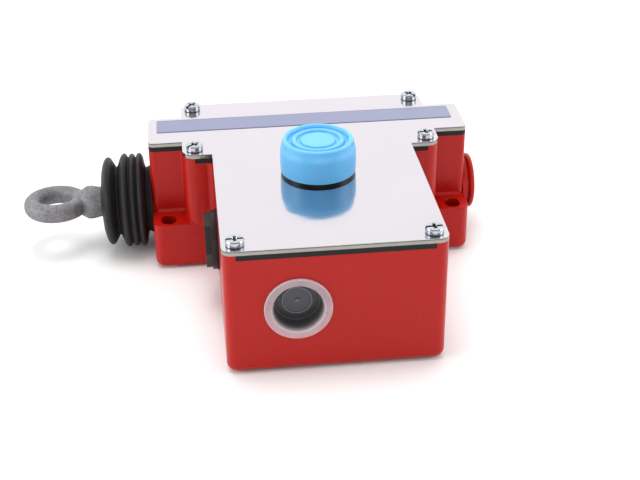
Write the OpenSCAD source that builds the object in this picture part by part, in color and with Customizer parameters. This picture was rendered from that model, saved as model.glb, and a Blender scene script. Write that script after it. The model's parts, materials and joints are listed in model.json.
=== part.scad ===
// Rope pull switch: a machine safety switch worked by a tensioned rope and set again with a booted button.
// Millimetres. The rope pulls towards -X, the stem with the contacts points to -Y and +Z is out of the wall.
// The origin lies on the mounting face, midway between the four fixing slots and under the rope's axis.

/* [Body] */
// Width of the stem that holds the contacts
stem_w = 84; // [76:1:100]
// Distance from the rope's axis to the front face of the stem
stem_front = 109; // [98:1:130]
// Length of the crossbar along the rope
bar_l = 137.4; // [134:0.1:150]
// Depth of the crossbar, front to back
bar_w = 52.5; // [50:0.5:62]
// Length of the low shelf at each end of the crossbar
shelf_l = 14.4; // [13.4:0.1:16]
// Depth of the raised end posts
post_w = 25.4; // [24:0.2:30]
// Height of the housing, up to the gasket
housing_h = 49.5; // [48:0.1:60]
// Height of the shelves that take the fixing screws
shelf_h = 20.8; // [14:0.1:28]
// Wall thickness of the casting
wall = 3.6; // [3:0.1:4.2]
// Thickness of the housing's floor
floor_t = 4; // [3:0.1:5]
// Thickness of the crossbar's two end walls
end_wall = 6.5; // [5:0.1:8]

/* [Cover] */
// Thickness of the gasket
gasket_t = 2.1; // [1:0.1:2.5]
// Thickness of the cover plate
plate_t = 1.9; // [1.5:0.1:3]
// Distance of each cover screw from the two edges beside it
screw_inset = 5.2; // [4.8:0.1:6]
// Diameter of a cover screw's head
screw_head_d = 7; // [6:0.1:8]

/* [Fixing] */
// Distance of a fixing slot's middle from the crossbar's end
slot_inset = 6.7; // [6:0.1:7]
// Metal left between a fixing slot and the crossbar's side
slot_edge = 1.55; // [1.4:0.05:2]
// Width of a fixing slot
slot_w = 6.4; // [5:0.1:7]
// Length of a fixing slot, end to end
slot_l = 8.2; // [7.2:0.1:8.6]

/* [Rope pull] */
// Height of the rope's axis above the mounting face
axis_z = 21; // [20.8:0.1:25]
// Diameter of the pull rod
rod_d = 8; // [6:0.1:9]
// Travel of the pull rod
pull_travel = 14; // [8:0.5:14]
// Distance from the crossbar's end to the middle of the eye
eye_reach = 42.6; // [42:0.1:52]
// Diameter of the circle through the middle of the eye's bar
eye_ring_d = 20.8; // [17:0.1:24]
// Thickness of the eye's bar, from its inside to its outside
eye_bar_d = 7.3; // [5:0.1:8]
// Height of the eye's bar
eye_bar_h = 8.1; // [8:0.1:9]
// Turn of the eye about the rope's axis, in degrees
eye_turn = 3; // [-90:1:90]
// Diameter of the eye's neck
neck_d = 13.3; // [11:0.1:14]
// Rise of the cam's ramp for each millimetre of pull
cam_slope = 0.3; // [0.2:0.01:0.3]

/* [Reset button] */
// Distance from the rope's axis to the button
button_y = 47.8; // [46:0.1:56]
// Diameter of the button's boot at its skirt
boot_d = 30.6; // [29:0.1:33]
// Height of the boot's rim above the cover plate
boot_h = 15; // [14.4:0.1:18]
// Diameter of the button's threaded barrel
barrel_d = 22; // [21:0.1:23]
// Travel of the reset button
press_travel = 4; // [2:0.1:4]

/* [Cable entries] */
// Distance of the front entry from the middle of the stem
entry_x = 14.5; // [10:0.1:20]
// Height of the entries above the mounting face
entry_z = 27.7; // [24:0.1:30]
// Distance from the rope's axis to the side entry
side_entry_y = 52.7; // [48:0.1:80]
// Diameter of the tapped entries
entry_d = 20; // [16:0.1:21]

/* [Hidden] */
$fn = 64;

// Clearances
fit = 0.05;
seat_gap = 0.3;
over = 1;

// Plan of the casting
lobe_l = bar_l - 2 * shelf_l;
slot_x = bar_l / 2 - slot_inset;
slot_y = bar_w / 2 - slot_edge - slot_l / 2;

// Levels of the cover
pad_z = housing_h + gasket_t;
cover_z = pad_z + plate_t;

// Outer radii of the casting
stem_r = 3.8;
lobe_r = 5;
post_r = 2.2;
base_r = 4;
foot_r = 3;
stem_foot_r = 3.5;
cove_r = 2.5;
post_cove_r = 1.3;

// Cover screws: where each stands, and the turn of its slot
screw_x = lobe_l / 2 - screw_inset;
screw_y = bar_w / 2 - screw_inset;
front_screw_x = stem_w / 2 - screw_inset;
front_screw_y = stem_front - screw_inset;
screws = [
    [-front_screw_x, -front_screw_y, 2], [front_screw_x, -front_screw_y, 4],
    [-screw_x, -screw_y, 38], [screw_x, -screw_y, 6],
    [-screw_x, screw_y, 50], [screw_x, screw_y, 132]
];
screw_d = 3.9;
screw_l = 12;
screw_head_h = 2.6;
boss_r = 6;
pad_r = 3.4;

// Rope pull
rod_r = rod_d / 2;
bar_end = bar_l / 2;
eye_x = -bar_end - eye_reach;
neck_end = -bar_end - 17.5;
bellows_front = -bar_end - 22.4;
shoulder_x = bellows_front - 7.2;
cuff_l = 4;
spigot_r = 12;
bead_h = 0.6;
bush_r = rod_r + 3;
bush_flange_r = rod_r + 4.6;
bush_flange_x = -bar_end + end_wall;
bush_flange_t = 2;
carriage_l = 44;
carriage_back = 9;
carriage_h = 22;
carriage_z = axis_z - carriage_h / 2;
cap_shank_x = bar_end - 14.5;
cap_reach = 5.6;
cap_wall = 2.1;
cap_r = 12.3;
cap_bore_x = bar_end + cap_reach - cap_wall;
rod_left = eye_x + eye_ring_d / 2 + eye_bar_d / 2;
rod_right = cap_bore_x - 0.8;
spring_wire = 2;
spring_r = rod_r + 3;

// Cam roller and contact plunger
roller_r = 3;
roller_h = 5.6;
ramp_y = carriage_back;
ramp_angle = atan(cam_slope);
roller_y = ramp_y + (roller_r + 0.15) / cos(ramp_angle);
slide_travel = pull_travel * cam_slope;
plunger_w = 6;
fork_t = 1.2;
fork_r = 2.6;

// Contact block
block_w = 36;
block_back = button_y - 17.8;
block_l = 42.5;
block_top = axis_z + 11;
block_ear = 7.5;
ear_y = block_back + block_l / 2;
ear_x = block_w / 2 + block_ear / 2;
post_h = 4;
nc_y = block_back + 8.5;
no_y = block_back + 27;
bridge_t = 0.8;
bridge_l = 22;
tip_x = 8.5;
tip_h = 0.6;
strip_w = 5;
terminal_x = 13.6;
terminal_ys = [nc_y - 1.25, no_y + 4.5];
terminal_t = 0.8;
clamp_t = 0.9;
channel_end = block_back + block_l - 4;
plunger_end = channel_end - slide_travel - 2.8;

// Reset button and latch
button_seat = cover_z;
bezel_h = 1.2;
barrel_r = barrel_d / 2;
barrel_bottom = pad_z - 6.4;
nut_t = 4;
stem_rod_r = 5;
well_floor = barrel_bottom + 4;
collar_r = boot_d / 2 - 5;
boot_wall = 1.4;
mushroom_r = boot_d / 2 - 3.5;
mushroom_top = button_seat + boot_h - 3.4;
mushroom_t = 3.6;
collar_top = mushroom_top - mushroom_t - press_travel - seat_gap;
pivot_z = block_top + 6;
pivot_y = button_y - 11.3;
lever_top = pivot_z + 3;
lever_w = 8;
pivot_r = 1.5;
nose_r = 2.5;

// Cable entries
entry_r = entry_d / 2;
entry_boss_r = entry_r + 3;
entry_depth = 8;

// Earth screw's post, in the stem's front corner
earth_at = [stem_w / 2 - 15, -stem_front + 17, 14];

// Points on an arc about c from angle a0 to a1
function arc(c, r, a0, a1, n = 8) =
    [for (i = [0:n]) let (a = a0 + (a1 - a0) * i / n) [c[0] + r * cos(a), c[1] + r * sin(a)]];

// Turns a shape that stands on Z to lie along +X, with its base at x = 0
module along_x() { rotate([90, 0, 90]) children(); }

// Places a shape made about the Z axis on the rope's axis, pointing to +X
module on_rope(x = 0) { translate([x, 0, axis_z]) rotate([0, 90, 0]) children(); }

module four_corners(x, y) {
    for (sx = [-1, 1], sy = [-1, 1]) translate([sx * x, sy * y, 0]) children();
}

module rounded_rect(l, w, r) {
    square([l - 2 * r, w], center = true);
    square([l, w - 2 * r], center = true);
    four_corners(l / 2 - r, w / 2 - r) circle(r);
}

// Upright rectangle whose two bottom corners are round
module footed_rect(w, h, r) {
    translate([-w / 2, r]) square([w, h - r]);
    translate([-w / 2 + r, 0]) square([w - 2 * r, 2 * r]);
    for (s = [-1, 1]) translate([s * (w / 2 - r), r]) circle(r);
}

// Block with round upright corners of radius r and a bottom edge rounded by foot
module cast_block(l, w, h, r, foot) {
    translate([-(l / 2 - r), 0, 0]) along_x() linear_extrude(l - 2 * r) footed_rect(w, h, foot);
    translate([0, w / 2 - r, 0]) rotate([90, 0, 0]) linear_extrude(w - 2 * r) footed_rect(l, h, foot);
    four_corners(l / 2 - r, w / 2 - r) rotate_extrude() intersection() {
        footed_rect(2 * r, h, foot);
        square([r, h]);
    }
}

// Outline of the housing seen from above, drawn in by inset
module plan(inset = 0) {
    rounded_rect(bar_l - 2 * inset, post_w - 2 * inset, max(post_r - inset, 1));
    rounded_rect(lobe_l - 2 * inset, bar_w - 2 * inset, max(lobe_r - inset, 1.4));
    stem_l = stem_front - inset;
    translate([0, -stem_l / 2]) rounded_rect(stem_w - 2 * inset, stem_l, max(stem_r - inset, 1.4));
}

// Corner pads round the cover screws, which meet the plate through the gasket; grow adds clearance
module screw_pads(grow = 0) {
    intersection() {
        plan();
        for (s = screws) translate([s[0], s[1]]) {
            reach = screw_inset + over;
            translate([s[0] < 0 ? -reach : -grow, s[1] < 0 ? -reach : -grow])
                square(reach + grow);
            circle(pad_r + grow);
        }
    }
}

// Concave quarter round that fills an inside corner, open towards +X and +Y
module cove(r, h) {
    linear_extrude(h) difference() {
        translate([-over, -over]) square(r + over);
        translate([r, r]) circle(r);
    }
}

module fixing_slot() {
    translate([0, 0, -over]) linear_extrude(shelf_h + 2 * over) {
        travel = slot_l - slot_w;
        for (s = [-1, 1]) translate([0, s * travel / 2]) circle(slot_w / 2);
        square([slot_w, travel], center = true);
    }
}

module housing_outside() {
    cast_block(bar_l, bar_w, shelf_h, base_r, foot_r);
    translate([0, -stem_front / 2, 0])
        cast_block(stem_w, stem_front, housing_h, stem_r, stem_foot_r);
    translate([0, 0, shelf_h / 2]) linear_extrude(housing_h - shelf_h / 2) {
        rounded_rect(lobe_l, bar_w, lobe_r);
        rounded_rect(bar_l, post_w, post_r);
    }
    // Coves where the stem leaves the crossbar
    for (s = [-1, 1]) translate([s * stem_w / 2, -bar_w / 2, stem_foot_r])
        mirror([s < 0 ? 1 : 0, 0, 0]) mirror([0, 1, 0]) cove(cove_r, housing_h - stem_foot_r);
    for (sx = [0, 1], sy = [0, 1]) mirror([sx, 0, 0]) mirror([0, sy, 0]) {
        // Cove along the foot of each end post, and up its corner with the crossbar
        translate([lobe_l / 2 - over, post_w / 2, shelf_h])
            along_x() cove(post_cove_r, shelf_l + over - post_r);
        translate([lobe_l / 2, post_w / 2, shelf_h - over]) cove(post_cove_r, housing_h - shelf_h + over);
    }
    // Spigot that carries the bellows, with a bead that keeps its cuff on
    on_rope(-bar_end - cuff_l) cylinder(r = spigot_r, h = cuff_l + over);
    on_rope(-bar_end - cuff_l) cylinder(r1 = spigot_r, r2 = spigot_r + bead_h, h = 1);
    translate([0, 0, housing_h - over]) linear_extrude(gasket_t + over) screw_pads();
}

module housing_cavity() {
    channel_l = bar_l - 2 * end_wall;
    difference() {
        translate([0, 0, floor_t]) linear_extrude(pad_z) {
            square([channel_l, post_w - 2 * wall], center = true);
            rounded_rect(lobe_l - 2 * wall, bar_w - 2 * wall, 2);
            stem_l = stem_front - wall;
            translate([0, -stem_l / 2]) rounded_rect(stem_w - 2 * wall, stem_l, 2);
        }
        for (s = screws) translate([s[0], s[1], 0]) cylinder(r = boss_r, h = housing_h);
        // Rings of wall round the cable entries
        translate([-entry_x, -stem_front + wall / 2, entry_z]) rotate([-90, 0, 0])
            cylinder(r = entry_boss_r, h = entry_depth - wall / 2);
        translate([-stem_w / 2 + wall / 2, -side_entry_y, entry_z]) rotate([0, 90, 0])
            cylinder(r = entry_boss_r, h = entry_depth - wall / 2);
        // Posts for the contact block's ears and for the earth screw
        for (s = [-1, 1]) translate([s * ear_x, -ear_y, 0]) cylinder(r = 3.5, h = floor_t + post_h);
        translate([earth_at[0], earth_at[1], 0]) cylinder(r = 5, h = earth_at[2]);
        // Rail that keeps the cam carriage upright
        translate([-carriage_l / 2 - pull_travel, -4, 0])
            cube([carriage_l + pull_travel, 8, carriage_z - seat_gap]);
        // Seat of the rear guide
        on_rope(cap_shank_x + 4) cylinder(r = entry_r + 2.5, h = bar_end);
    }
}

module housing() {
    color("firebrick") difference() {
        housing_outside();
        housing_cavity();
        four_corners(slot_x, slot_y) fixing_slot();
        for (s = screws) translate([s[0], s[1], cover_z - screw_l - over])
            cylinder(d = screw_d + 2 * fit, h = screw_l + over);
        on_rope(-bar_end - cuff_l - over) cylinder(r = bush_r + fit, h = end_wall + cuff_l + 2 * over);
        // Room for the flange of the rod's bush
        on_rope(bush_flange_x) cylinder(r = bush_flange_r + seat_gap, h = bush_flange_t + seat_gap);
        on_rope(cap_shank_x) cylinder(r = entry_r + fit, h = bar_end);
        translate([-entry_x, -stem_front - over, entry_z]) rotate([-90, 0, 0])
            cylinder(r = entry_r + fit, h = entry_depth + 2 * over);
        translate([-stem_w / 2 - over, -side_entry_y, entry_z]) rotate([0, 90, 0])
            cylinder(r = entry_r + fit, h = entry_depth + 2 * over);
        for (s = [-1, 1]) translate([s * ear_x, -ear_y, floor_t / 2]) cylinder(r = 1.6, h = block_top);
        translate([earth_at[0], earth_at[1], floor_t]) cylinder(r = 2 + fit, h = block_top);
    }
}

module cover_gasket() {
    color("#202022") translate([0, 0, housing_h]) linear_extrude(gasket_t) difference() {
        intersection() {
            plan();
            union() {
                difference() {
                    plan();
                    plan(wall + 0.4);
                }
                for (s = screws) translate([s[0], s[1]]) circle(boss_r);
            }
        }
        screw_pads(0.15);
    }
}

module cover_plate() {
    color("gainsboro") translate([0, 0, pad_z]) linear_extrude(plate_t) difference() {
        plan();
        for (s = screws) translate([s[0], s[1]]) circle(screw_d / 2 + 0.3);
        translate([0, -button_y]) circle(barrel_r + 0.15);
    }
}

// Cheese head with a slot and a cross recess, its underside at z = 0
module screw_head(d, h) {
    difference() {
        union() {
            cylinder(d = d, h = h - 0.5);
            translate([0, 0, h - 0.5]) cylinder(d1 = d, d2 = d - 0.7, h = 0.5);
        }
        translate([-d, -d * 0.085, h * 0.62]) cube([2 * d, d * 0.17, h]);
        for (a = [0, 90]) rotate(a)
            translate([-d * 0.27, -d * 0.08, h * 0.4]) cube([d * 0.54, d * 0.16, h]);
        translate([0, 0, h * 0.3]) cylinder(d1 = d * 0.12, d2 = d * 0.34, h = h * 0.71);
    }
}

module cover_screws() {
    color("silver") for (s = screws) translate([s[0], s[1], cover_z]) rotate(s[2]) {
        screw_head(screw_head_d, screw_head_h);
        translate([0, 0, -screw_l]) cylinder(d = screw_d, h = screw_l + 0.2);
    }
}

// Cast eye: a ring, and a neck with a low collar that is tapped for the pull rod
module eye_nut() {
    ring_r = eye_ring_d / 2;
    bar_r = eye_bar_d / 2;
    flat = eye_bar_h - eye_bar_d;
    neck_r = neck_d / 2;
    shank_x = eye_x + ring_r - bar_r + 0.4;
    color("darkgray") difference() {
        union() {
            translate([eye_x, 0, axis_z]) rotate([-eye_turn, 0, 0]) rotate_extrude()
                translate([ring_r, 0]) {
                    for (s = [-1, 1]) translate([0, s * flat / 2]) circle(bar_r);
                    square([eye_bar_d, flat], center = true);
                }
            on_rope() rotate_extrude() polygon([
                [0, shank_x], [bar_r - 0.2, shank_x], [neck_r + 0.2, shoulder_x],
                [neck_r + 0.7, shoulder_x + 0.7], [neck_r + 0.7, shoulder_x + 3.2],
                [neck_r + 0.45, shoulder_x + 4.3], [neck_r, shoulder_x + 6],
                [neck_r, neck_end], [0, neck_end]
            ]);
        }
        on_rope(rod_left) cylinder(r = rod_r + fit, h = bar_l);
        // Groove that the bellows' lip sits in
        on_rope(bellows_front) difference() {
            cylinder(d = neck_d + 4, h = 1.6);
            translate([0, 0, -over]) cylinder(d = neck_d - 1.4, h = 1.6 + 2 * over);
        }
    }
}

// Hexagon across corners 2 r, with its corners turned off at both ends
module turned_hex(r, h) {
    cut = r * 0.08;
    intersection() {
        cylinder(r = r, h = h, $fn = 6);
        union() {
            cylinder(r1 = r - 1.8 * cut, r2 = r + fit, h = cut);
            translate([0, 0, cut]) cylinder(r = r + fit, h = h - 2 * cut);
            translate([0, 0, h - cut]) cylinder(r1 = r + fit, r2 = r - 1.8 * cut, h = cut);
        }
    }
}

module eye_lock_nut() {
    color("silver") on_rope(neck_end) difference() {
        turned_hex(rod_r * 1.8, 5);
        translate([0, 0, -over]) cylinder(r = rod_r + fit, h = 5 + 2 * over);
    }
}

module pull_rod() {
    color("silver") difference() {
        on_rope(rod_left + 1) cylinder(r = rod_r, h = rod_right - rod_left - 1);
        translate([0, 0, carriage_z]) cylinder(r = 1.5 + fit, h = carriage_h);
    }
}

// Outer profile of the bellows as [radius, x] from its front lip to its cuff
bellows_x = bellows_front;
bellows_profile = concat(
    [[0, bellows_x], [7.2, bellows_x], [13, bellows_x + 0.7]],
    arc([17, bellows_x + 3.4], 2.2, -70, 45, 6),
    [[14.9, bellows_x + 7.2]],
    arc([19.2, bellows_x + 10.5], 1.5, -60, 55, 6),
    [[18.2, bellows_x + 12.2]],
    arc([18.9, bellows_x + 13.6], 1.3, -50, 50, 5),
    [[18.2, bellows_x + 15.1]],
    arc([18.9, bellows_x + 16.5], 1.4, -50, 60, 6),
    [[14.4, bellows_x + 19.1], [14.2, bellows_x + 20], [14.9, bellows_x + 21.3],
     [14.9, -bar_end - fit], [0, -bar_end - fit]]
);
bellows_wall = 1.5;

// Half section of a moulded skin of thickness t with the given outer profile
module skin(profile, t) {
    difference() {
        polygon(profile);
        offset(delta = -t) for (m = [0, 1]) mirror([m, 0]) polygon(profile);
    }
}

module rope_bellows() {
    color("#262628") on_rope(0) rotate_extrude() difference() {
        skin(bellows_profile, bellows_wall);
        translate([0, bellows_x - over]) square([neck_d / 2 - 0.7 + fit, bar_l]);
        // Seat of the cuff on the spigot and its bead
        translate([0, -bar_end - cuff_l - 2 * fit]) square([spigot_r + fit, cuff_l + over]);
        translate([0, -bar_end - cuff_l - 2 * fit]) square([spigot_r + bead_h + fit, 1.1]);
    }
}

module rod_guide_bush() {
    color("darkgoldenrod") difference() {
        union() {
            on_rope(-bar_end - cuff_l + 1) cylinder(r = bush_r, h = end_wall + cuff_l - 1);
            on_rope(bush_flange_x) cylinder(r = bush_flange_r, h = bush_flange_t);
        }
        on_rope(-bar_l) cylinder(r = rod_r + fit, h = bar_l);
    }
}

// Round wire wound about Z from z = 0 to z = l, as one swept solid
module coil(r, l, turns, wire, sides = 8, steps = 14) {
    n = turns * steps;
    ring = [for (i = [0:n]) let (a = 360 * i / steps, z = wire / 2 + (l - wire) * i / n)
        [for (j = [0:sides - 1]) let (b = 360 * j / sides, q = r + wire / 2 * cos(b))
            [q * cos(a), q * sin(a), z + wire / 2 * sin(b)]]];
    points = [for (p = ring) each p];
    skin = [for (i = [0:n - 1], j = [0:sides - 1]) let (k = (j + 1) % sides)
        each [[i * sides + j, (i + 1) * sides + k, i * sides + k],
              [i * sides + j, (i + 1) * sides + j, (i + 1) * sides + k]]];
    ends = [[for (j = [0:sides - 1]) j], [for (j = [sides - 1:-1:0]) n * sides + j]];
    polyhedron(points, concat(skin, ends));
}

module main_spring() {
    start = bush_flange_x + bush_flange_t + seat_gap;
    color("silver") on_rope(start)
        coil(spring_r, -carriage_l / 2 - seat_gap - start, 8, spring_wire);
}

module return_spring() {
    start = carriage_l / 2 + seat_gap;
    color("silver") on_rope(start) coil(spring_r, cap_shank_x - seat_gap - start, 6, spring_wire);
}

// Block on the rod whose front face is a ramp that drives the cam roller
module cam_carriage() {
    half = carriage_l / 2;
    ramp_end = pull_travel + 3;
    color("dimgray") difference() {
        translate([0, 0, carriage_z]) linear_extrude(carriage_h) polygon([
            [-half, carriage_back], [half, carriage_back],
            [half, -ramp_y - cam_slope * ramp_end], [ramp_end, -ramp_y - cam_slope * ramp_end],
            [-4, -ramp_y + cam_slope * 4], [-half, -ramp_y + cam_slope * 4]
        ]);
        on_rope(-bar_l / 2) cylinder(r = rod_r + fit, h = bar_l);
        translate([0, 0, -over]) cylinder(r = 1.5 + fit, h = pad_z);
    }
}

module carriage_pin() {
    color("silver") translate([0, 0, carriage_z + 1]) cylinder(r = 1.5, h = carriage_h - 2);
}

// Red plug at the far end of the crossbar, which is also the rod's rear guide
module end_cap() {
    rim = 1.3;
    neck_l = cap_reach - 2 * rim;
    groove = 0.9;
    color("firebrick") difference() {
        union() {
            on_rope(cap_shank_x) cylinder(r = entry_r, h = bar_end - cap_shank_x + over);
            on_rope(bar_end + fit) cylinder(r = cap_r - 0.4, h = neck_l - groove);
            on_rope(bar_end + fit) cylinder(r = cap_r - 1.5, h = neck_l);
            on_rope(bar_end + cap_reach - rim) rotate_extrude() {
                translate([0, -rim]) square([cap_r - rim, 2 * rim]);
                translate([cap_r - rim, 0]) circle(rim);
            }
        }
        on_rope(cap_shank_x - over) cylinder(r = rod_r + fit, h = cap_bore_x - cap_shank_x + over);
    }
}

// Outer profile of the button's boot as [radius, height above the bezel]
boot_r = boot_d / 2;
rim_h = boot_h - bezel_h;
boot_profile = concat(
    [[0, fit], [boot_r - 0.1, fit], [boot_r, 2], [boot_r, 5.6], [boot_r - 0.25, 7.4], [boot_r - 1.2, 9.6]],
    arc([boot_r - 2.65, rim_h - 1.1], 1.1, 10, 120, 6),
    arc([boot_r - 4.45, rim_h - 0.6], 0.9, -30, -150, 4),
    arc([boot_r - 6.1, rim_h - 1.2], 0.9, 50, 130, 3),
    arc([boot_r - 7.6, rim_h - 0.9], 0.8, -30, -150, 4),
    [[boot_r - 8.8, rim_h - 1.1], [0, rim_h - 1.1]]
);

module reset_boot() {
    color("deepskyblue") translate([0, -button_y, button_seat + bezel_h]) rotate_extrude() difference() {
        skin(boot_profile, boot_wall);
        square([collar_r + fit, 3]);
    }
}

module button_barrel() {
    color("#202022") translate([0, -button_y, 0]) difference() {
        union() {
            translate([0, 0, barrel_bottom]) cylinder(r = barrel_r, h = button_seat - barrel_bottom + over);
            translate([0, 0, button_seat]) cylinder(r = boot_r - 0.3, h = bezel_h);
            translate([0, 0, button_seat]) cylinder(r = collar_r, h = collar_top - button_seat);
        }
        translate([0, 0, well_floor]) cylinder(r = stem_rod_r + 3.6, h = pad_z);
        translate([0, 0, barrel_bottom - over]) cylinder(r = stem_rod_r + fit, h = pad_z);
    }
}

module button_nut() {
    color("#303032") translate([0, -button_y, pad_z - nut_t]) difference() {
        cylinder(r = barrel_r + 3.4, h = nut_t);
        translate([0, 0, -over]) cylinder(r = barrel_r + fit, h = nut_t + 2 * over);
        for (a = [0:45:315]) rotate(a)
            translate([barrel_r + 2.2, -1.5, -over]) cube([4, 3, nut_t + 2 * over]);
    }
}

module reset_plunger() {
    tip = lever_top + seat_gap + nose_r;
    color("whitesmoke") translate([0, -button_y, 0]) {
        translate([0, 0, mushroom_top - mushroom_t]) cylinder(r = mushroom_r, h = mushroom_t - 1);
        translate([0, 0, mushroom_top - 1]) cylinder(r1 = mushroom_r, r2 = mushroom_r - 1, h = 1);
        translate([0, 0, barrel_bottom + 0.5])
            cylinder(r = stem_rod_r, h = mushroom_top - mushroom_t - barrel_bottom);
        translate([0, 0, tip]) cylinder(r = nose_r, h = barrel_bottom + over - tip);
        translate([0, 0, tip]) sphere(nose_r);
    }
}

module reset_spring() {
    start = well_floor + seat_gap;
    color("silver") translate([0, -button_y, start])
        coil(stem_rod_r + 1.8, mushroom_top - mushroom_t - seat_gap - start, 5, 1.4);
}

// Folded steel bracket on the contact block that holds the latch's pin
module latch_bracket() {
    inner = lever_w / 2 + seat_gap;
    color("silver") difference() {
        union() {
            translate([-inner - 1.8, -pivot_y - 3, block_top])
                cube([2 * inner + 3.6, pivot_y + 3 - block_back - 0.3, 1]);
            for (s = [-1, 1]) translate([s * (inner + 0.9) - 0.9, -pivot_y, 0]) {
                translate([0, -3, block_top]) cube([1.8, 6, pivot_z - block_top]);
                translate([0, 0, pivot_z]) along_x() cylinder(r = 3, h = 1.8);
            }
        }
        translate([-bar_l, -pivot_y, pivot_z]) along_x() cylinder(r = pivot_r + fit, h = 2 * bar_l);
    }
}

module latch_pin() {
    reach = lever_w / 2 + 3;
    color("silver") translate([-reach, -pivot_y, pivot_z]) along_x() cylinder(r = pivot_r, h = 2 * reach);
}

// Rocker: the button presses one end and the hook at the other end lifts off the contact plunger
module latch_lever() {
    hook_y = block_back - 1.5;
    hook_z = axis_z + plunger_w / 2 + 0.4;
    arm = button_y + 3 - hook_y;
    color("goldenrod") difference() {
        translate([-lever_w / 2, 0, 0]) union() {
            translate([0, -hook_y - arm, lever_top - 2]) cube([lever_w, arm + 2.5, 2]);
            translate([0, -hook_y, hook_z]) cube([lever_w, 2.5, lever_top - hook_z]);
            translate([0, -pivot_y, pivot_z]) along_x() cylinder(r = 3, h = lever_w);
        }
        translate([-lever_w, -pivot_y, pivot_z]) along_x() cylinder(r = pivot_r + fit, h = 2 * lever_w);
    }
}

// Moulded block with a channel for the plunger and a chamber for each pair of contacts
module contact_block() {
    channel = plunger_w + 0.4;
    color("#2c2c30") difference() {
        union() {
            translate([-block_w / 2, -block_back - block_l, floor_t])
                cube([block_w, block_l, block_top - floor_t]);
            for (s = [-1, 1]) translate([s * ear_x - block_ear / 2, -ear_y - 5, floor_t + post_h])
                cube([block_ear, 10, 4]);
        }
        translate([-channel / 2, -channel_end, axis_z - channel / 2]) cube([channel, block_l, channel]);
        for (y = [nc_y, no_y]) translate([-bridge_l / 2 - 1, -y - slide_travel - 2.3, axis_z - 5])
            cube([bridge_l + 2, slide_travel + 5, block_top]);
        for (y = terminal_ys, s = [-1, 1]) translate([s * terminal_x, -y, block_top - 3]) {
            translate([-3.8, -3.8, 0]) cube([7.6, 7.6, 4]);
            translate([0, 0, -9]) cylinder(r = 1.75 + fit, h = 10);
        }
        for (s = [-1, 1]) translate([s * ear_x, -ear_y, 0]) cylinder(r = 1.9, h = block_top);
    }
}

module contact_block_screws() {
    top = floor_t + post_h + 4;
    color("silver") for (s = [-1, 1]) translate([s * ear_x, -ear_y, top]) {
        screw_head(5.8, 2.2);
        translate([0, 0, -8]) cylinder(r = 1.5, h = 8.2);
    }
}

// Square slide with a fork for the cam roller at its rope end
module contact_plunger() {
    half = plunger_w / 2;
    fork_z = roller_h / 2 + 0.2;
    color("ivory") difference() {
        union() {
            translate([-half, -plunger_end, axis_z - half])
                cube([plunger_w, plunger_end - roller_y - roller_r - 0.6, plunger_w]);
            for (s = [-1, 1]) translate([0, 0, axis_z + s * (fork_z + fork_t / 2) - fork_t / 2]) {
                translate([0, -roller_y, 0]) cylinder(r = fork_r, h = fork_t);
                translate([-fork_r, -roller_y - roller_r - 2.5, 0])
                    cube([2 * fork_r, roller_r + 2.5, fork_t]);
            }
        }
        translate([0, -roller_y, 0]) cylinder(r = 1 + fit, h = block_top);
        for (y = [nc_y, no_y]) translate([-half - over, -y - bridge_t / 2 - fit, axis_z - 2.5 - fit])
            cube([plunger_w + 2 * over, bridge_t + 2 * fit, 5 + 2 * fit]);
        // Notch that comes under the latch's hook at full travel
        translate([-half - over, -block_back + 1 + slide_travel, axis_z + half - 1.2])
            cube([plunger_w + 2 * over, 3.5, 2]);
    }
}

module plunger_spring() {
    start = channel_end - seat_gap;
    color("silver") translate([0, -start, axis_z]) rotate([-90, 0, 0])
        coil(1.9, start - plunger_end - seat_gap, 3, 0.7);
}

module cam_roller() {
    color("silver") translate([0, -roller_y, axis_z - roller_h / 2]) difference() {
        cylinder(r = roller_r, h = roller_h);
        translate([0, 0, -over]) cylinder(r = 1 + fit, h = roller_h + 2 * over);
    }
}

module roller_pin() {
    color("silver") translate([0, -roller_y, axis_z - roller_h / 2 - fork_t])
        cylinder(r = 1, h = roller_h + 2 * fork_t);
}

// Two sprung copper bridges, each with a silver tip at either end
module contact_bridges() {
    for (b = [[nc_y, 1], [no_y, -1]]) {
        color("peru") translate([-bridge_l / 2, -b[0] - bridge_t / 2, axis_z - 2.5])
            cube([bridge_l, bridge_t, 5]);
        color("silver") for (s = [-1, 1]) translate([s * tip_x, -b[0] + b[1] * bridge_t / 2, axis_z])
            rotate([-90 * b[1], 0, 0]) cylinder(r = 1.5, h = tip_h);
    }
}

// Fixed contacts: the rear pair is closed at rest and the front pair closes at full travel
module fixed_contacts() {
    closed_y = nc_y - bridge_t / 2 - tip_h - fit;
    open_y = no_y + bridge_t / 2 + tip_h + slide_travel + fit + bridge_t;
    color("peru") for (s = [-1, 1]) {
        for (y = [closed_y, open_y])
            translate([s * tip_x - strip_w / 2, -y, axis_z - 2])
                cube([strip_w, bridge_t, block_top - 1 - axis_z]);
        for (y = terminal_ys) translate([s * terminal_x, -y, block_top - 3]) difference() {
            translate([-3.4, -3.4, 0]) cube([6.8, 6.8, terminal_t]);
            translate([0, 0, -over]) cylinder(r = 1.75 + fit, h = 3);
        }
    }
}

module terminal_clamps() {
    color("silver") for (y = terminal_ys, s = [-1, 1])
        translate([s * terminal_x, -y, block_top - 3 + terminal_t]) difference() {
            translate([-3.2, -3.2, 0]) cube([6.4, 6.4, clamp_t]);
            translate([0, 0, -over]) cylinder(r = 1.75 + fit, h = 3);
        }
}

module terminal_screws() {
    color("silver") for (y = terminal_ys, s = [-1, 1])
        translate([s * terminal_x, -y, block_top - 3 + terminal_t + clamp_t]) {
            screw_head(6, 2.2);
            translate([0, 0, -9]) cylinder(r = 1.75, h = 9.2);
        }
}

module earth_clamp() {
    color("goldenrod") translate([earth_at[0], earth_at[1], earth_at[2]]) difference() {
        translate([-4, -4, 0]) cube([8, 8, 1]);
        translate([0, 0, -over]) cylinder(r = 2 + fit, h = 3);
    }
}

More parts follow.
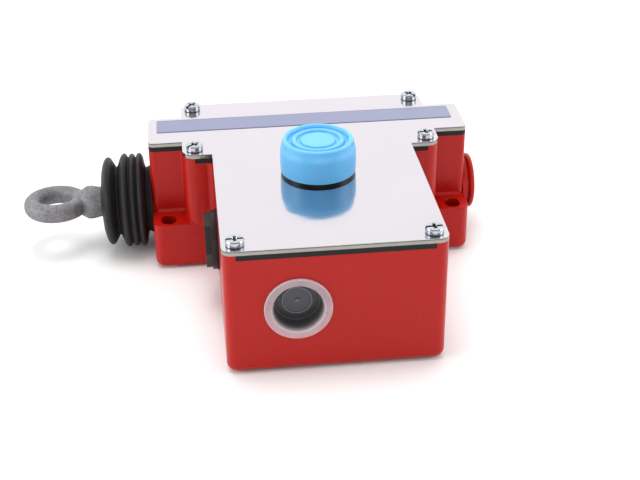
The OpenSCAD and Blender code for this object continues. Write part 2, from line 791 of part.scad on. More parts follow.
module earth_screw() {
    color("goldenrod") translate([earth_at[0], earth_at[1], earth_at[2] + 1]) {
        screw_head(7, 2.6);
        translate([0, 0, -8]) cylinder(r = 2, h = 8.2);
    }
}

// Clear cap pressed into the front entry; its floor has a raised ring and a gate mark
module front_entry_plug() {
    skin = 1;
    floor_at = entry_depth - 2;
    depth = floor_at + skin;
    lip_t = 1.2;
    flange_r = entry_r + 2.85;
    ring_r = 5.6;
    color([0.9, 0.9, 0.9, 0.5]) translate([-entry_x, -stem_front, entry_z]) rotate([-90, 0, 0])
        rotate_extrude() polygon([
            [0, floor_at - 0.5], [0.7, floor_at - 0.5], [0.9, floor_at],
            [ring_r - 0.4, floor_at], [ring_r - 0.2, floor_at - 0.4],
            [ring_r + 0.2, floor_at - 0.4], [ring_r + 0.4, floor_at],
            [entry_r - skin - 0.3, floor_at], [entry_r - 0.7, 0.3], [entry_r + 0.2, -lip_t],
            [flange_r - 0.3, -lip_t], [flange_r, 0.3 - lip_t],
            [flange_r, -fit], [entry_r, -fit], [entry_r - 0.3, depth], [0, depth]
        ]);
}

// Hexagonal blanking plug in the side entry
module side_entry_plug() {
    color("#222224") translate([-stem_w / 2, -side_entry_y, entry_z]) rotate([0, -90, 0]) {
        translate([0, 0, -entry_depth]) cylinder(r = entry_r, h = entry_depth + over);
        translate([0, 0, 0.8]) cylinder(r = 12.1, h = 1.8);
        translate([0, 0, 2.6]) rotate(28) cylinder(r = 11.2, h = 2.6, $fn = 6);
    }
}

module side_plug_washer() {
    color("#141414") translate([-stem_w / 2, -side_entry_y, entry_z]) rotate([0, -90, 0]) difference() {
        cylinder(r = 12.4, h = 0.8);
        translate([0, 0, -over]) cylinder(r = entry_r + fit, h = 3);
    }
}

housing();
cover_gasket();
cover_plate();
cover_screws();
eye_nut();
eye_lock_nut();
pull_rod();
rope_bellows();
rod_guide_bush();
main_spring();
cam_carriage();
carriage_pin();
return_spring();
end_cap();
reset_boot();
button_barrel();
button_nut();
reset_plunger();
reset_spring();
latch_bracket();
latch_pin();
latch_lever();
contact_block();
contact_block_screws();
contact_plunger();
plunger_spring();
cam_roller();
roller_pin();
contact_bridges();
fixed_contacts();
terminal_clamps();
terminal_screws();
earth_clamp();
earth_screw();
front_entry_plug();
side_entry_plug();
side_plug_washer();
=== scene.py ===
"""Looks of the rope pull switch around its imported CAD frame.

Lengths are in millimetres until they reach a mesh, a node or a light, which take metres.
"""

import json
import math

import bmesh
import bpy
from mathutils import Matrix, Vector


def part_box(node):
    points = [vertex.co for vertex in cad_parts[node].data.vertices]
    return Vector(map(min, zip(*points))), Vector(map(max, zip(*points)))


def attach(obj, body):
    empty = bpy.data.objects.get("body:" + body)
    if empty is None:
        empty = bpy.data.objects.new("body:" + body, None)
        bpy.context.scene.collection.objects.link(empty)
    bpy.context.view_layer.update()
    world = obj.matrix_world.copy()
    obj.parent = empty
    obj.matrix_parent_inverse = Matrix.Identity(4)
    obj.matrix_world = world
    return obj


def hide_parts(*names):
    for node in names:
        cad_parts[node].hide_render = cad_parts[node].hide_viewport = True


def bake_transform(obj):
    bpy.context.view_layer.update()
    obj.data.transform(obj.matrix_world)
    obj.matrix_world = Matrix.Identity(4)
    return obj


MM = 0.001
ROOT, ROPE, SLIDE, BUTTON = "switch_housing", "rope_pull", "contact_slide", "reset_button"

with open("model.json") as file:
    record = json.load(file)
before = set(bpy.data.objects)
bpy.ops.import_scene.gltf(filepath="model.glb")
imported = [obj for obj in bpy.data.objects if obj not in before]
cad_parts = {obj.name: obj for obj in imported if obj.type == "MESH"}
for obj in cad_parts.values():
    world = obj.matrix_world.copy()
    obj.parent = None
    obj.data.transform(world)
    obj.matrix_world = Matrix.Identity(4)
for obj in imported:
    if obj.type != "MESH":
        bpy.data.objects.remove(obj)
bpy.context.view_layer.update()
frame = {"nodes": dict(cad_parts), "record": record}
cad = frame["nodes"]


def low(node):
    """The node's lowest corner at rest."""
    return [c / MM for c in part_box(node)[0]]


def high(node):
    """The node's highest corner at rest."""
    return [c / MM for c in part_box(node)[1]]


def middle(node):
    """The middle of the node's box at rest."""
    return [(a + b) / 2 for a, b in zip(low(node), high(node))]


# Places taken from the frame
AXIS_Z = middle("pull_rod")[2]
BUTTON_AT = middle("reset_plunger")[:2]
COVER_LOW, COVER_HIGH = low("cover_plate"), high("cover_plate")
COVER_Z = COVER_HIGH[2]
SCREW_TOP = high("cover_screws")[2]
# The strip lies along the crossbar's cover, this far in from its ends and its back edge
STRIP_X = (COVER_LOW[0] + 3.7, COVER_HIGH[0] - 4.5)
STRIP_Y = (COVER_HIGH[1] - 28.6, COVER_HIGH[1] - 15.95)


# ---------------------------------------------------------------- camera

FOCAL, SENSOR = 70.42, 36
NEAR_CLIP = 10
CAMERA_AT = (-48.74, -499.76, 277.98)
PITCH, YAW, ROLL = (math.radians(a) for a in (-29.438, -6.209, -0.595))


def make_camera():
    """The photograph's viewpoint, solved from its straight edges."""
    turn = Matrix.Rotation(YAW, 3, "Z")
    forward = turn @ Vector((0, math.cos(PITCH), math.sin(PITCH)))
    right = turn @ Vector((1, 0, 0))
    up = right.cross(forward)
    right, up = (
        right * math.cos(ROLL) + up * math.sin(ROLL),
        up * math.cos(ROLL) - right * math.sin(ROLL),
    )
    data = bpy.data.cameras.new("camera")
    data.lens = FOCAL
    data.sensor_width = SENSOR
    data.clip_start = NEAR_CLIP * MM
    camera = bpy.data.objects.new("camera", data)
    pose = Matrix((right, up, -forward)).transposed().to_4x4()
    pose.translation = Vector(CAMERA_AT) * MM
    camera.matrix_world = pose
    bpy.context.scene.collection.objects.link(camera)
    bpy.context.scene.camera = camera


# ---------------------------------------------------------------- materials


# Indices of the Mix node's colour sockets
COLOUR_A, COLOUR_B, MIXED = 6, 7, 2


class Surface:
    """A Principled material and short ways to wire patterns into it."""

    def __init__(self, name, base, rough, metallic=0.0, **sockets):
        self.material = bpy.data.materials.new(name)
        self.material.use_nodes = True
        self.tree = self.material.node_tree
        self.shader = self.tree.nodes["Principled BSDF"]
        self.place = self.tree.nodes.new("ShaderNodeTexCoord").outputs["Object"]
        self.shader.inputs["Base Color"].default_value = (*base, 1)
        self.shader.inputs["Roughness"].default_value = rough
        self.shader.inputs["Metallic"].default_value = metallic
        for socket, value in sockets.items():
            self.shader.inputs[socket.replace("_", " ")].default_value = value
        self.normal = None

    def node(self, kind, **values):
        made = self.tree.nodes.new(kind)
        for name, value in values.items():
            setattr(made, name, value)
        return made

    def link(self, a, b):
        self.tree.links.new(a, b)

    def noise(self, size, detail=3.0, roughness=0.5, stretch=(1, 1, 1), seed=0.0):
        """Noise whose features are about size mm across, as a value from 0 to 1."""
        moved = self.node("ShaderNodeMapping")
        moved.inputs["Scale"].default_value = stretch
        moved.inputs["Location"].default_value = (seed, seed / 2, -seed)
        self.link(self.place, moved.inputs["Vector"])
        made = self.node("ShaderNodeTexNoise")
        made.inputs["Scale"].default_value = 1 / (size * MM)
        made.inputs["Detail"].default_value = detail
        made.inputs["Roughness"].default_value = roughness
        self.link(moved.outputs["Vector"], made.inputs["Vector"])
        return made.outputs["Fac"]

    def spots(self, size, seed):
        """Distance to the nearest of scattered points about size mm apart."""
        moved = self.node("ShaderNodeMapping")
        moved.inputs["Location"].default_value = (seed, -seed, seed / 3)
        self.link(self.place, moved.inputs["Vector"])
        made = self.node("ShaderNodeTexVoronoi")
        made.inputs["Scale"].default_value = 1 / (size * MM)
        self.link(moved.outputs["Vector"], made.inputs["Vector"])
        return made.outputs["Distance"]

    def span(self, value, a, b, start=0.0, end=1.0):
        """value taken from the range start to end into a to b, and held at its ends."""
        made = self.node("ShaderNodeMapRange")
        limits = {"From Min": start, "From Max": end, "To Min": a, "To Max": b}
        for name, number in limits.items():
            made.inputs[name].default_value = number
        self.link(value, made.inputs["Value"])
        return made.outputs["Result"]

    def step(self, value, start, end):
        """0 where value is at start mm and 1 where it is at end mm."""
        return self.span(value, 0, 1, start * MM, end * MM)

    def times(self, a, b):
        made = self.node("ShaderNodeMath", operation="MULTIPLY")
        self.link(a, made.inputs[0])
        self.link(b, made.inputs[1])
        return made.outputs[0]

    def mix(self, value, a, b):
        """Colour a where value is 0 and b where it is 1."""
        made = self.node("ShaderNodeMix", data_type="RGBA")
        self.link(value, made.inputs["Factor"])
        for index, colour in ((COLOUR_A, a), (COLOUR_B, b)):
            if isinstance(colour, tuple):
                made.inputs[index].default_value = (*colour, 1)
            else:
                self.link(colour, made.inputs[index])
        return made.outputs[MIXED]

    def coordinate(self, axis):
        """The place along X, Y or Z of the CAD frame."""
        made = self.node("ShaderNodeSeparateXYZ")
        self.link(self.place, made.inputs["Vector"])
        return made.outputs[axis]

    def colour(self, value):
        self.link(value, self.shader.inputs["Base Color"])

    def rough(self, value):
        self.link(value, self.shader.inputs["Roughness"])

    def round_edges(self, radius):
        """Shades sharp edges as if they had this radius. It comes before the bumps."""
        made = self.node("ShaderNodeBevel", samples=6)
        made.inputs["Radius"].default_value = radius * MM
        self.normal = made.outputs["Normal"]
        self.link(self.normal, self.shader.inputs["Normal"])

    def bump(self, value, height):
        """Raises the surface by up to height mm where value is 1."""
        made = self.node("ShaderNodeBump")
        made.inputs["Strength"].default_value = 1
        made.inputs["Distance"].default_value = height * MM
        self.link(value, made.inputs["Height"])
        if self.normal:
            self.link(self.normal, made.inputs["Normal"])
        self.normal = made.outputs["Normal"]
        self.link(self.normal, self.shader.inputs["Normal"])


def red_enamel():
    """Glossy enamel over a casting: faint orange peel and broad unevenness."""
    s = Surface("red_enamel", (0.39, 0.006, 0.003), 0.3, Specular_IOR_Level=0.26)
    s.colour(s.mix(s.noise(9, 4), (0.37, 0.0052, 0.0024), (0.405, 0.0066, 0.0033)))
    s.rough(s.span(s.noise(4, 4, seed=3), 0.24, 0.36))
    s.round_edges(0.5)
    s.bump(s.noise(1.3, 2), 0.012)
    s.bump(s.noise(12, 1, seed=5), 0.03)
    return s.material


def cover_steel():
    """Polished sheet, very slightly wavy, with a duller cut edge and painted shade just under its
    corner.
    """
    s = Surface("cover_steel", (0.7, 0.66, 0.7), 0.1, metallic=1.0)
    height = s.coordinate("Z")
    sheet = s.mix(s.noise(30, 3), (0.545, 0.515, 0.55), (0.585, 0.552, 0.59))
    edge = s.mix(s.noise(3, 3), (0.27, 0.26, 0.24), (0.36, 0.35, 0.32))
    # Painted shade: a dark band on the cut edge, just under the top corner
    painted_shade_under_corner = s.step(height, COVER_Z - 0.75, COVER_Z - 0.35)
    edge = s.mix(painted_shade_under_corner, edge, (0.1, 0.1, 0.1))
    on_top = s.step(height, COVER_Z - 0.2, COVER_Z - 0.08)
    s.colour(s.mix(on_top, edge, sheet))
    s.rough(s.span(s.noise(6, 5, roughness=0.65, stretch=(0.2, 3, 1)), 0.07, 0.15))
    s.round_edges(0.3)
    s.bump(s.noise(0.5, 4, roughness=0.7, stretch=(0.1, 4, 1)), 0.0008)
    s.bump(s.noise(9, 1, seed=7), 0.05)
    return s.material


def plain_metal(name, base, rough, grain, depth):
    """Machined or drawn metal with grain of this size and depth."""
    s = Surface(name, base, rough, metallic=1.0)
    dark = tuple(c * 0.82 for c in base)
    s.colour(s.mix(s.noise(2.5, 4, seed=len(name)), dark, base))
    s.rough(s.span(s.noise(1.5, 4), rough * 0.75, min(1, rough * 1.35)))
    s.round_edges(0.15)
    s.bump(s.noise(grain, 3), depth)
    return s.material


def screw_zinc():
    """Bright zinc plate. The cover screws have painted shade at their foot and in their slots."""
    s = Surface("zinc", (0.5, 0.54, 0.58), 0.2, metallic=1.0)
    height = s.coordinate("Z")
    plating = s.mix(s.noise(0.9, 4), (0.3, 0.32, 0.35), (0.62, 0.66, 0.71))
    # Painted shade: a dark line where a head meets the cover
    clear_of_cover = s.step(height, COVER_Z + 0.15, COVER_Z + 0.55)
    painted_foot_shade = s.mix(clear_of_cover, (0.07, 0.075, 0.08), plating)
    over_cover = s.step(height, COVER_Z - 0.2, COVER_Z - 0.1)
    shade = s.mix(over_cover, plating, painted_foot_shade)
    # Painted shade on the slots' floors: flat, and between the cover and the heads' tops
    facing = s.node("ShaderNodeSeparateXYZ")
    s.link(s.node("ShaderNodeNewGeometry").outputs["Normal"], facing.inputs["Vector"])
    flat = s.span(facing.outputs["Z"], 0, 1, 0.9, 0.95)
    above = s.step(height, COVER_Z + 0.7, COVER_Z + 0.8)
    below = s.step(height, SCREW_TOP - 0.5, SCREW_TOP - 0.6)
    painted_slot_shade = s.times(s.times(above, below), flat)
    s.colour(s.mix(painted_slot_shade, shade, (0.02, 0.024, 0.03)))
    s.rough(s.span(s.noise(1.5, 4), 0.12, 0.28))
    s.round_edges(0.2)
    s.bump(s.noise(0.9, 3), 0.02)
    return s.material


def cast_grey():
    """Galvanised casting: grainy, with duller patches."""
    s = Surface("cast_grey", (0.22, 0.22, 0.225), 0.5, metallic=0.45)
    patches = s.span(s.noise(5.5, 4), 0, 1, 0.3, 0.7)
    grain = s.span(s.noise(1.3, 5, roughness=0.75, seed=4), 0, 1, 0.3, 0.7)
    worn = s.mix(grain, (0.14, 0.138, 0.147), (0.3, 0.297, 0.314))
    dull = s.mix(grain, (0.105, 0.103, 0.11), (0.23, 0.227, 0.24))
    s.colour(s.mix(patches, dull, worn))
    s.rough(s.span(s.noise(1.6, 5, roughness=0.65, seed=2), 0.4, 0.6))
    s.bump(s.noise(1.1, 5, roughness=0.7), 0.13)
    s.bump(s.spots(1.7, seed=4), 0.05)
    return s.material


def plain_plastic(name, base, rough, light=1.25, depth=0.006, edge=0.25, gloss=0.5):
    """Moulded plastic or rubber, up to light times as pale as base, with a fine skin."""
    s = Surface(name, base, rough, Specular_IOR_Level=gloss)
    pale = tuple(min(1, c * light) for c in base)
    s.colour(s.mix(s.noise(5, 4, seed=len(name)), base, pale))
    s.rough(s.span(s.noise(2, 4), rough * 0.8, min(1, rough * 1.25)))
    s.round_edges(edge)
    s.bump(s.noise(0.6, 2), depth)
    return s.material


def bellows_rubber():
    """Satin black moulding."""
    s = Surface("bellows_rubber", (0.011, 0.0105, 0.0108), 0.5, Specular_IOR_Level=0.25)
    s.colour(s.mix(s.noise(4, 5), (0.009, 0.0084, 0.0086), (0.017, 0.016, 0.0164)))
    s.rough(s.span(s.noise(2.5, 4), 0.42, 0.62))
    s.bump(s.noise(0.5, 3), 0.012)
    return s.material


def blue_boot():
    """Sky blue silicone that lets a little light in."""
    s = Surface(
        "blue_boot", (0.122, 0.455, 0.812), 0.34,
        Specular_IOR_Level=0.5, Subsurface_Weight=0.2, Subsurface_Scale=0.003,
    )
    s.colour(s.mix(s.noise(7, 3), (0.116, 0.445, 0.8), (0.127, 0.465, 0.825)))
    s.rough(s.span(s.noise(2, 4), 0.3, 0.44))
    s.bump(s.noise(0.8, 3), 0.008)
    return s.material


def clear_plug():
    """Clear plastic: milky over the red wall, with painted shade in the cup, where the wall is
    open, and painted highlights on its rims.
    """
    s = Surface("plug_clear", (0.5, 0.42, 0.43), 0.3, Transmission_Weight=0.3, IOR=1.45)
    x, _, z = middle("front_entry_plug")
    front, back = low("front_entry_plug")[1], high("front_entry_plug")[1]
    depth = s.coordinate("Y")
    flat = s.node("ShaderNodeVectorMath", operation="MULTIPLY")
    flat.inputs[1].default_value = (1, 0, 1)
    s.link(s.place, flat.inputs[0])
    from_axis = s.node("ShaderNodeVectorMath", operation="DISTANCE")
    from_axis.inputs[1].default_value = (x * MM, 0, z * MM)
    s.link(flat.outputs[0], from_axis.inputs[0])
    radius = from_axis.outputs["Value"]

    # Flange: painted light, pinker and brighter low down, with a painted highlight on its rim and
    # another at the mouth
    painted_light_low_down = s.step(s.coordinate("Z"), z + 9, z - 11)
    milky = s.mix(painted_light_low_down, (0.5, 0.385, 0.42), (0.72, 0.455, 0.505))
    pinker = s.mix(painted_light_low_down, (0.46, 0.33, 0.36), (0.62, 0.375, 0.42))
    flange = s.mix(s.span(s.noise(6, 3), 0, 1, 0.3, 0.7), pinker, milky)
    flange = s.mix(s.step(radius, 12.5, 12.65), flange, (0.72, 0.6, 0.61))
    flange = s.mix(s.step(radius, 10.3, 10.15), flange, (0.78, 0.74, 0.76))

    # Wall of the cup: a painted highlight on its lip, then painted shade deeper in
    lip = s.mix(s.step(depth, front + 0.45, front + 1.1), (0.72, 0.68, 0.7), (0.34, 0.27, 0.29))
    wall = s.mix(s.step(depth, front + 1.2, front + 3.6), lip, (0.1, 0.094, 0.1))

    # Floor of the cup: a disc in a raised ring, and a paler ring near the wall
    floor = s.mix(s.step(radius, 5.5, 5.6), (0.095, 0.094, 0.112), (0.058, 0.054, 0.058))
    floor = s.mix(s.step(depth, back - 1.06, back - 1.2), floor, (0.2, 0.22, 0.25))
    floor = s.mix(s.step(radius, 8.4, 8.6), floor, (0.19, 0.19, 0.2))
    cup = s.mix(s.step(depth, back - 1.6, back - 1.5), wall, floor)

    in_cup = s.mix(s.step(depth, front + 0.35, front + 0.45), flange, cup)
    s.colour(s.mix(s.step(radius, 10.35, 10.45), in_cup, flange))
    s.rough(s.span(s.noise(3, 4), 0.22, 0.4))
    s.bump(s.noise(1.5, 3), 0.01)
    return s.material


def strip_ink():
    """Lavender print with a darker line along each long edge."""
    s = Surface("strip_ink", (0.29, 0.3, 0.43), 0.38, Specular_IOR_Level=0.4)
    across = s.step(s.coordinate("Y"), *STRIP_Y)
    along = s.step(s.coordinate("X"), *STRIP_X)
    pale = s.mix(along, (0.195, 0.207, 0.322), (0.21, 0.22, 0.332))
    near_edge = s.span(across, 1, 0, 0.03, 0.09)
    far_edge = s.span(across, 0, 1, 0.94, 0.98)
    bordered = s.mix(far_edge, pale, (0.13, 0.145, 0.25))
    s.colour(s.mix(near_edge, bordered, (0.095, 0.112, 0.21)))
    s.rough(s.span(s.noise(3, 3), 0.32, 0.45))
    s.bump(s.noise(0.8, 2), 0.002)
    return s.material


def floor_paint():
    """Plain pale floor."""
    s = Surface("floor_paint", (0.85, 0.85, 0.85), 0.6)
    s.colour(s.mix(s.noise(120, 3), (0.84, 0.84, 0.84), (0.86, 0.86, 0.86)))
    return s.material


# ---------------------------------------------------------------- meshes


def add(name, points, faces, material, smooth=True):
    """A new piece from points in mm."""
    mesh = bpy.data.meshes.new(name)
    mesh.from_pydata([Vector(p) * MM for p in points], [], faces)
    mesh.polygons.foreach_set("use_smooth", [smooth] * len(mesh.polygons))
    mesh.materials.append(material)
    mesh.update()
    piece = bpy.data.objects.new(name, mesh)
    bpy.context.scene.collection.objects.link(piece)
    return piece


def through(points, steps):
    """A Catmull-Rom curve through 2D points, with steps points a stretch."""
    curve = []
    ends = [points[0]] + list(points) + [points[-1]]
    for a, b, c, d in zip(ends, ends[1:], ends[2:], ends[3:]):
        for i in range(steps):
            t = i / steps
            curve.append(tuple(
                0.5 * (
                    2 * q
                    + (r - p) * t
                    + (2 * p - 5 * q + 4 * r - s) * t**2
                    + (3 * q - p - 3 * r + s) * t**3
                )
                for p, q, r, s in zip(a, b, c, d)
            ))
    return curve + [tuple(points[-1])]


def turned(name, profile, to_space, material):
    """A closed profile of (radius, height) points turned about an axis.

    to_space(r, h, angle) gives the point in space.
    """
    sides, count = 128, len(profile)
    points = [to_space(r, h, 2 * math.pi * k / sides) for k in range(sides) for r, h in profile]
    faces = []
    for k in range(sides):
        n = (k + 1) % sides
        for i in range(count):
            j = (i + 1) % count
            faces.append((k * count + i, k * count + j, n * count + j, n * count + i))
    return add(name, points, faces, material)


def about_x(r, h, angle):
    """Turned about the rope's axis."""
    return h, r * math.cos(angle), AXIS_Z + r * math.sin(angle)


def about_y(r, h, angle):
    """Turned about the contact plunger's axis."""
    return r * math.cos(angle), h, AXIS_Z + r * math.sin(angle)


def about_button(r, h, angle):
    """Turned about the reset button's axis."""
    return BUTTON_AT[0] + r * math.cos(angle), BUTTON_AT[1] + r * math.sin(angle), h


def wire(name, radius, thick, start, end, turns, to_space, material):
    """Round wire wound from height start to end, flat for part of a turn at both ends."""
    sides, steps, flat_turns = 10, 40, 0.75
    count = turns * steps
    half = thick / 2
    rising = turns - 2 * flat_turns
    pitch = (end - start - thick) / rising
    points, faces = [], []
    for i in range(count + 1):
        turn = i / steps
        centre = start + half + min(max(turn - flat_turns, 0), rising) * pitch
        for j in range(sides):
            b = 2 * math.pi * j / sides
            r = radius + half * math.cos(b)
            points.append(to_space(r, centre + half * math.sin(b), 2 * math.pi * turn))
    for i in range(count):
        for j in range(sides):
            k = (j + 1) % sides
            faces.append((i * sides + j, i * sides + k, (i + 1) * sides + k, (i + 1) * sides + j))
    faces.append(tuple(range(sides))[::-1])
    faces.append(tuple(count * sides + j for j in range(sides)))
    return add(name, points, faces, material)


def fix_normals(piece):
    """Welds the points that meet at an axis and turns every face outwards."""
    weld = 1e-4
    made = bmesh.new()
    made.from_mesh(piece.data)
    bmesh.ops.remove_doubles(made, verts=made.verts, dist=weld * MM)
    bmesh.ops.recalc_face_normals(made, faces=made.faces)
    made.to_mesh(piece.data)
    made.free()


# ---------------------------------------------------------------- pieces

# (radius, distance from the lip on the eye's neck) along the outside of the bellows
BELLOWS_NECK, BELLOWS_CUFF = 6.0, 14.85
BELLOWS_FOLDS = [
    (BELLOWS_NECK, 0.0), (9.5, 0.15), (13.5, 0.6), (16.6, 1.35), (18.6, 2.35), (19.35, 3.45),
    (18.8, 4.8), (16.8, 6.0), (15.0, 7.2), (16.7, 8.2), (19.2, 9.15), (20.6, 10.45),
    (20.35, 11.6), (18.95, 12.5), (20.05, 13.3), (20.4, 14.15), (20.0, 15.05), (18.8, 15.7),
    (20.0, 16.35), (20.55, 17.2), (20.3, 18.05), (18.9, 18.85), (16.2, 19.35), (14.3, 19.95),
    (14.4, 20.6), (14.6, 21.1), (BELLOWS_CUFF, 21.7),
]


def make_bellows(material):
    """Rubber bellows over the rod, from a lip on the eye's neck to a cuff on the housing."""
    wall, bore, first_fold_end = 1.6, 12.15, 8.8
    lip, cuff = low("rope_bellows")[0], high("rope_bellows")[0]
    outer = [(r, lip + x) for r, x in through(BELLOWS_FOLDS, 5)] + [(BELLOWS_CUFF, cuff)]
    inner = [(bore, cuff), (bore, cuff - 3.2), (13.1, cuff - 4.4)]
    for r, x in reversed(BELLOWS_FOLDS[2:-4]):
        inwards = x + (0.3 if x > first_fold_end else 0.9)
        inner.append((max(r - wall, BELLOWS_NECK + 1), lip + min(max(inwards, 1.5), 18.4)))
    inner.append((BELLOWS_NECK, lip + 1.5))
    piece = turned("rope_bellows_skin", outer + inner, about_x, material)
    fix_normals(piece)
    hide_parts("rope_bellows")
    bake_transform(piece)


# The boot's outside as (distance in from its widest radius, height over its base)
BOOT_SKIRT = [
    (0.25, 0), (0.17, 0.25), (0.12, 1.2), (0.04, 2.8), (0.02, 4.6), (0.02, 6.4), (0.06, 8.0),
    (0.16, 9.2), (0.42, 10.3), (0.7, 11.2), (0.86, 12.2),
]
# and then as (distance in from its widest radius, depth under its top)
BOOT_RIM = [
    (0.94, 2.0), (1.0, 1.2), (1.18, 0.55), (1.6, 0.24), (2.1, 0.18), (2.55, 0.26), (2.85, 0.6),
    (3.05, 1.1), (3.2, 1.65), (3.5, 2.0), (4.25, 2.0),
]
BOOT_RING = [
    (4.55, 1.6), (4.75, 1.05), (5.1, 0.74), (5.65, 0.66), (6.2, 0.74), (6.5, 1.1), (6.65, 1.55),
    (6.9, 1.85), (7.9, 1.85),
]
BOOT_DISC = [(8.2, 1.55), (8.35, 1.15), (8.65, 0.94), (9.3, 0.88), (12.0, 0.86)]


def make_boot(material):
    """Rubber boot over the reset button: a skirt under a rim, which holds a ring and a disc."""
    bore = 10.2
    base, top = low("reset_boot")[2], high("reset_boot")[2]
    side = (high("reset_boot")[0] - low("reset_boot")[0]) / 2
    outer = [(side - inset, base + height) for inset, height in BOOT_SKIRT]
    outer += [(side - inset, top - depth) for inset, depth in BOOT_RIM + BOOT_RING + BOOT_DISC]
    outer.append((0, top - BOOT_DISC[-1][1]))
    inner = [
        (0, top - 3.2), (side - 3.9, top - 3.2), (side - 2.8, top - 3.6), (side - 2.5, base + 8.4),
        (side - 1.6, base + 7.0), (side - 1.6, base + 1.5), (bore, base + 1.2), (bore, base),
    ]
    piece = turned("reset_boot_skin", through(outer, 4) + inner, about_button, material)
    fix_normals(piece)
    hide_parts("reset_boot")
    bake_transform(piece)


# node, mean radius, wire's thickness, turns, moving body, axis, its turning function,
# and True where the low end is the fixed one
SPRINGS = [
    ("main_spring", 7.0, 2.0, 8, ROPE, "x", about_x, True),
    ("return_spring", 7.0, 2.0, 6, ROPE, "x", about_x, False),
    ("reset_spring", 6.8, 1.4, 5, BUTTON, "z", about_button, True),
    ("plunger_spring", 1.9, 0.7, 4, SLIDE, "y", about_y, True),
]


def make_springs(material):
    """Wound wire in place of the plain CAD coils, over each coil's length."""
    for node, radius, thick, turns, mover, axis, around, low_fixed in SPRINGS:
        k = "xyz".index(axis)
        start, end = low(node)[k], high(node)[k]
        piece = wire(node + "_wire", radius, thick, start, end, turns, around, material)
        fix_normals(piece)
        ends = [Vector(around(0, h, 0)) * MM for h in (start + thick, end - thick)]
        if not low_fixed:
            ends.reverse()
        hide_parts(node)
        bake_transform(piece)


def make_strip(material):
    """Bare printed foil along the crossbar."""
    (x0, x1), (y0, y1) = STRIP_X, STRIP_Y
    gap, thick, radius, corner_steps = 0.01, 0.12, 0.6, 6
    corners = [
        (x1 - radius, y1 - radius), (x0 + radius, y1 - radius),
        (x0 + radius, y0 + radius), (x1 - radius, y0 + radius),
    ]
    outline = []
    for quarter, (x, y) in enumerate(corners):
        for i in range(corner_steps + 1):
            angle = math.pi / 2 * (quarter + i / corner_steps)
            outline.append((x + radius * math.cos(angle), y + radius * math.sin(angle)))
    n = len(outline)
    points = [(x, y, COVER_Z + h) for h in (gap, thick) for x, y in outline]
    faces = [tuple(range(n))[::-1], tuple(range(n, 2 * n))]
    faces += [(i, (i + 1) % n, n + (i + 1) % n, n + i) for i in range(n)]
    piece = add("cover_strip", points, faces, material, smooth=False)
    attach(piece, ROOT)


def make_eye(material):
    """Cast eye: a copy of the CAD eye's mesh, with its inside corners melted round."""
    voxel, ease, rounds = 0.35, 0.6, 6
    copied = cad["eye_nut"].data.copy()
    piece = bpy.data.objects.new("eye_nut_cast", copied)
    bpy.context.scene.collection.objects.link(piece)
    remesh = piece.modifiers.new("melt", "REMESH")
    remesh.mode = "VOXEL"
    remesh.voxel_size = voxel * MM
    remesh.use_smooth_shade = True
    smooth = piece.modifiers.new("ease", "SMOOTH")
    smooth.factor = ease
    smooth.iterations = rounds
    result = piece.evaluated_get(bpy.context.evaluated_depsgraph_get())
    cast = bpy.data.meshes.new_from_object(result)
    piece.modifiers.clear()
    piece.data = cast
    bpy.data.meshes.remove(copied)
    cast.materials.clear()
    cast.materials.append(material)
    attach(piece, ROPE)
    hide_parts("eye_nut")


# ---------------------------------------------------------------- stage and light


def make_floor(material):
    """A broad floor just under the mounting face."""
    half, z = 4000, -0.4
    points = [(-half, -half, z), (half, -half, z), (half, half, z), (-half, half, z)]
    floor = add("floor", points, [(0, 1, 2, 3)], material, smooth=False)


def area_light(name, at, target, size, power, mirrored=True):
    """A rectangular lamp at one place, aimed at another. Unless mirrored, no reflection shows it.

    Places and size are in mm, and power is in watts.
    """
    data = bpy.data.lights.new(name, "AREA")
    data.shape = "RECTANGLE"
    data.size, data.size_y = (s * MM for s in size)
    data.energy = power
    light = bpy.data.objects.new(name, data)
    light.location = Vector(at) * MM
    aim = (Vector(target) - Vector(at)).normalized()
    light.rotation_euler = aim.to_track_quat("-Z", "Y").to_euler()
    light.visible_glossy = mirrored
    bpy.context.scene.collection.objects.link(light)


# The tent is dim in front of the object and bright behind it, by the Y of the direction
FRONT, BEHIND = -0.8, 0.8
DIM, BRIGHT = 0.46, 1.48


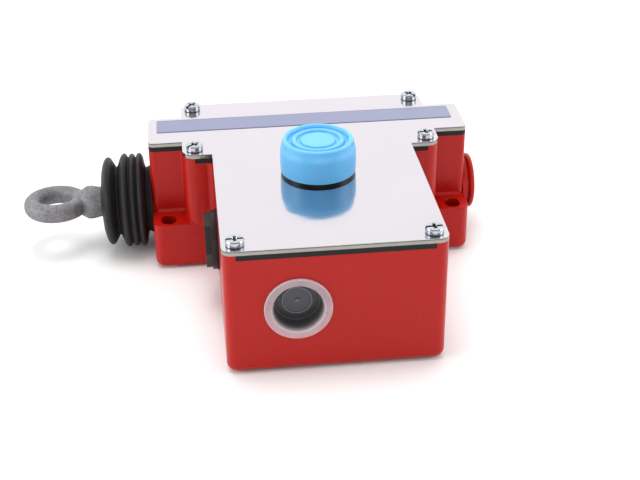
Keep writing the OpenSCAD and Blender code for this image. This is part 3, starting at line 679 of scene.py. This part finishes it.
def make_lights():
    """A white tent, brighter behind the object, and lamps overhead, on both sides and in front.

    The overhead lamp isn't mirrored, so that the cover keeps its tone when seen from above.
    """
    world = bpy.data.worlds.new("studio")
    world.use_nodes = True
    tree = world.node_tree
    sky = tree.nodes["Background"]
    sky.inputs["Color"].default_value = (1, 1, 1, 1)
    place = tree.nodes.new("ShaderNodeTexCoord")
    axes = tree.nodes.new("ShaderNodeSeparateXYZ")
    tree.links.new(place.outputs["Generated"], axes.inputs["Vector"])
    depth = tree.nodes.new("ShaderNodeMapRange")
    limits = {"From Min": FRONT, "From Max": BEHIND, "To Min": DIM, "To Max": BRIGHT}
    for name, number in limits.items():
        depth.inputs[name].default_value = number
    tree.links.new(axes.outputs["Y"], depth.inputs["Value"])
    tree.links.new(depth.outputs["Result"], sky.inputs["Strength"])
    bpy.context.scene.world = world
    area_light("overhead", (-60, 0, 800), (0, -40, 30), (500, 400), 3.6, mirrored=False)
    area_light("left", (-560, -160, 220), (-20, -40, 25), (300, 300), 1.1)
    area_light("right", (560, -160, 220), (20, -40, 25), (300, 300), 0.95)
    area_light("front", (-50, -1500, 300), (0, -60, 20), (900, 450), 3.6)
    bpy.context.scene.view_settings.view_transform = "Standard"


# ---------------------------------------------------------------- build

LOOKS = {
    "red_enamel": red_enamel(),
    "cover_steel": cover_steel(),
    "gasket_rubber": plain_plastic(
        "gasket_rubber", (0.008, 0.008, 0.0095), 0.55, depth=0.02, edge=0.1, gloss=0.25,
    ),
    "zinc_screws": screw_zinc(),
    "cast_grey": cast_grey(),
    "bright_steel": plain_metal(
        "bright_steel", (0.62, 0.62, 0.63), 0.3, grain=0.4, depth=0.002,
    ),
    "spring_steel": plain_metal(
        "spring_steel", (0.4, 0.41, 0.43), 0.32, grain=0.3, depth=0.002,
    ),
    "bellows_rubber": bellows_rubber(),
    "bronze": plain_metal("bronze", (0.6, 0.42, 0.2), 0.35, grain=0.3, depth=0.004),
    "slide_plastic": plain_plastic("slide_plastic", (0.05, 0.05, 0.055), 0.5),
    "blue_boot": blue_boot(),
    "black_plastic": plain_plastic(
        "black_plastic", (0.005, 0.005, 0.0055), 0.3, light=1.5, gloss=0.2,
    ),
    "white_plastic": plain_plastic("white_plastic", (0.75, 0.75, 0.72), 0.45, light=1.08),
    "block_plastic": plain_plastic("block_plastic", (0.02, 0.02, 0.022), 0.5),
    "contact_copper": plain_metal(
        "contact_copper", (0.68, 0.4, 0.26), 0.3, grain=0.4, depth=0.002,
    ),
    "plug_clear": clear_plug(),
    "plug_black": plain_plastic(
        "plug_black", (0.017, 0.0158, 0.0152), 0.42, depth=0.01, gloss=0.3,
    ),
}

slots = {part["node"]: part["material_slot"] for part in frame["record"]["subparts"]}
for node, piece in cad.items():
    piece.material_slots[0].material = LOOKS[slots[node]]

make_eye(LOOKS["cast_grey"])
make_bellows(LOOKS["bellows_rubber"])
make_boot(LOOKS["blue_boot"])
make_springs(LOOKS["spring_steel"])
make_strip(strip_ink())
make_floor(floor_paint())
make_lights()
make_camera()
